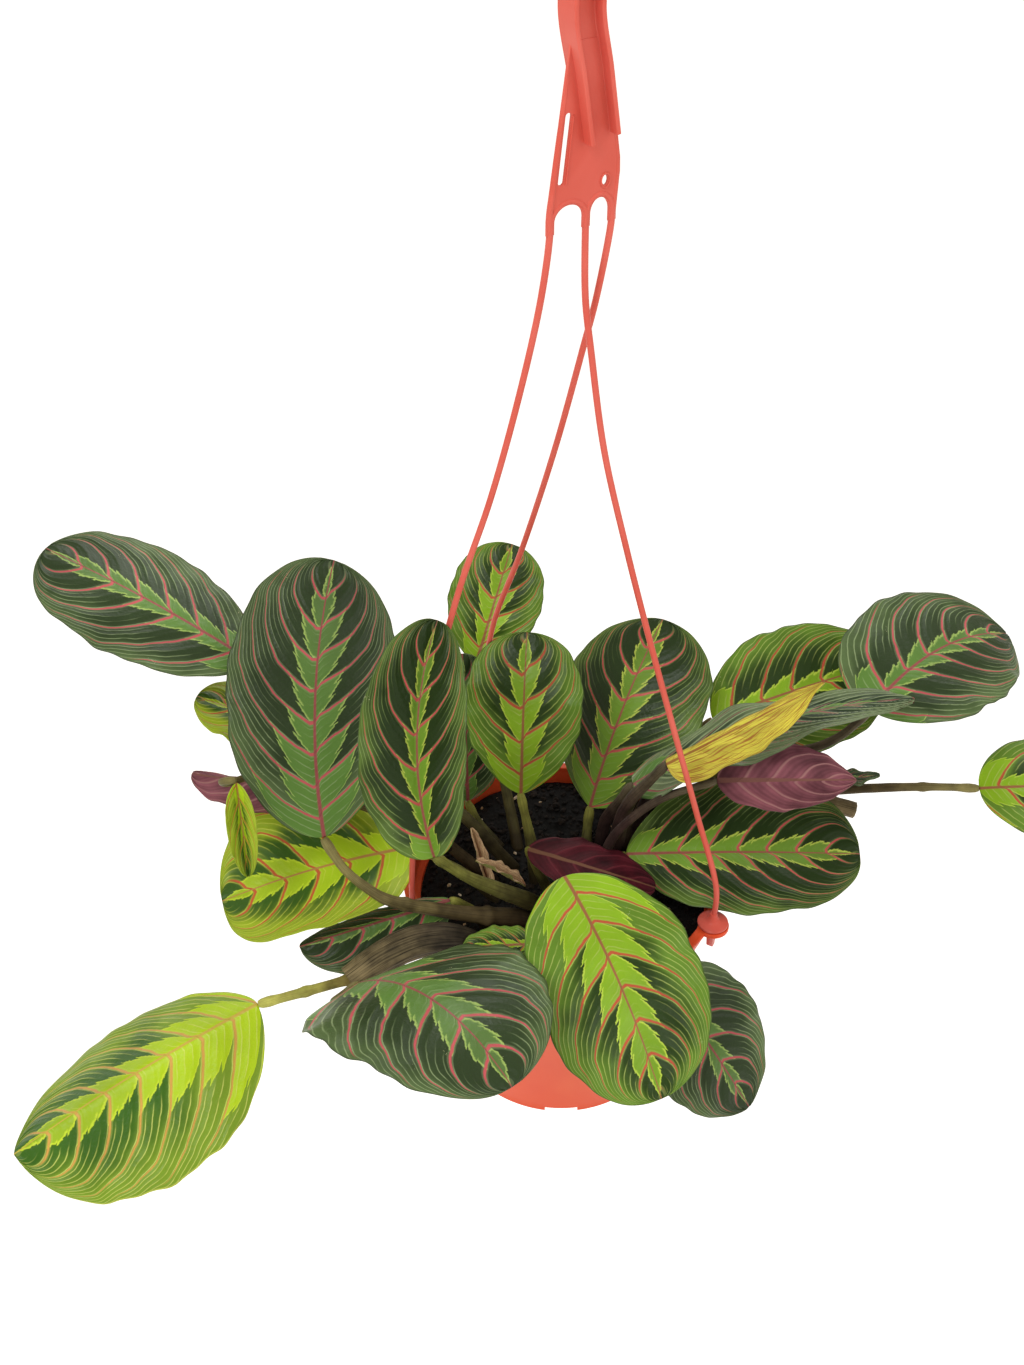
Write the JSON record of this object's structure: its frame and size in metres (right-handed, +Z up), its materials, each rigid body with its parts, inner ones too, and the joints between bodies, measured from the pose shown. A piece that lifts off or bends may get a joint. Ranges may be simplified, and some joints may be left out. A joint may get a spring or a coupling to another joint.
{
  "type": "potted prayer plant maranta",
  "caption": "Red-veined prayer plant in a terracotta-coloured moulded hanging pot with a three-legged plastic hanger and hook.",
  "frame": {"origin": "centre of the pot floor's underside; the moulded foot ring reaches 3 mm below it", "axes": "+Z up along the pot's axis to the hook, -Y towards the front, +X to the right of a viewer in front"},
  "size_m": [0.5508, 0.2873, 0.577],
  "materials": {
    "moulded_plastic": "satin",
    "potting_mix": "matte",
    "green_leaf": "satin",
    "lime_leaf": "satin",
    "yellow_leaf": "matte",
    "leaf_underside": "satin",
    "stalk": "matte",
    "papery_bract": "matte"
  },
  "bodies": {
    "root": {"pot": "moulded_plastic", "potting_mix": "potting_mix", "hanger_head": "moulded_plastic", "hanger_leg_front_right": "moulded_plastic", "hanger_leg_rear": "moulded_plastic", "hanger_leg_left": "moulded_plastic", "leaf_far_left": "green_leaf", "leaf_tall_left": "green_leaf", "leaf_folded_left": "green_leaf", "leaf_back_small": "green_leaf", "leaf_centre": "green_leaf", "leaf_centre_right": "green_leaf", "leaf_back_right": "green_leaf", "leaf_right_high": "green_leaf", "leaf_right_ridged": "green_leaf", "leaf_yellow_rolled": "yellow_leaf", "leaf_pink_underside": "leaf_underside", "leaf_small_right": "green_leaf", "leaf_front_right": "green_leaf", "leaf_far_right": "lime_leaf", "leaf_front": "green_leaf", "leaf_front_left": "green_leaf", "leaf_lime_curled": "lime_leaf", "leaf_left_under": "green_leaf", "leaf_centre_maroon": "leaf_underside", "leaf_rim_small": "green_leaf", "leaf_low_right": "green_leaf", "leaf_lime_low_left": "lime_leaf", "leaf_back_dark": "green_leaf", "leaf_lime_behind": "lime_leaf", "leaf_bud_left": "leaf_underside", "leaf_lime_droop": "lime_leaf", "bract_left": "papery_bract", "bract_front": "papery_bract", "stalk_far_left": "stalk", "stalk_tall_left": "stalk", "stalk_folded_left": "stalk", "stalk_back_small": "stalk", "stalk_centre": "stalk", "stalk_centre_right": "stalk", "stalk_back_right": "stalk", "stalk_right_high": "stalk", "stalk_right_ridged": "stalk", "stem_yellow": "stalk", "stalk_pink_underside": "stalk", "stalk_small_right": "stalk", "stalk_front_right": "stalk", "sheath_right": "stalk", "stalk_far_right": "stalk", "stalk_front": "stalk", "sheath_low_left": "stalk", "stalk_lime_low_left": "stalk", "stalk_front_left": "stalk", "stalk_lime_curled": "stalk", "stalk_left_under": "stalk", "stalk_centre_maroon": "stalk", "stalk_rim_small": "stalk", "stalk_low_right": "stalk", "stalk_back_dark": "stalk", "shoot_left": "stalk"}
  },
  "joints": []
}
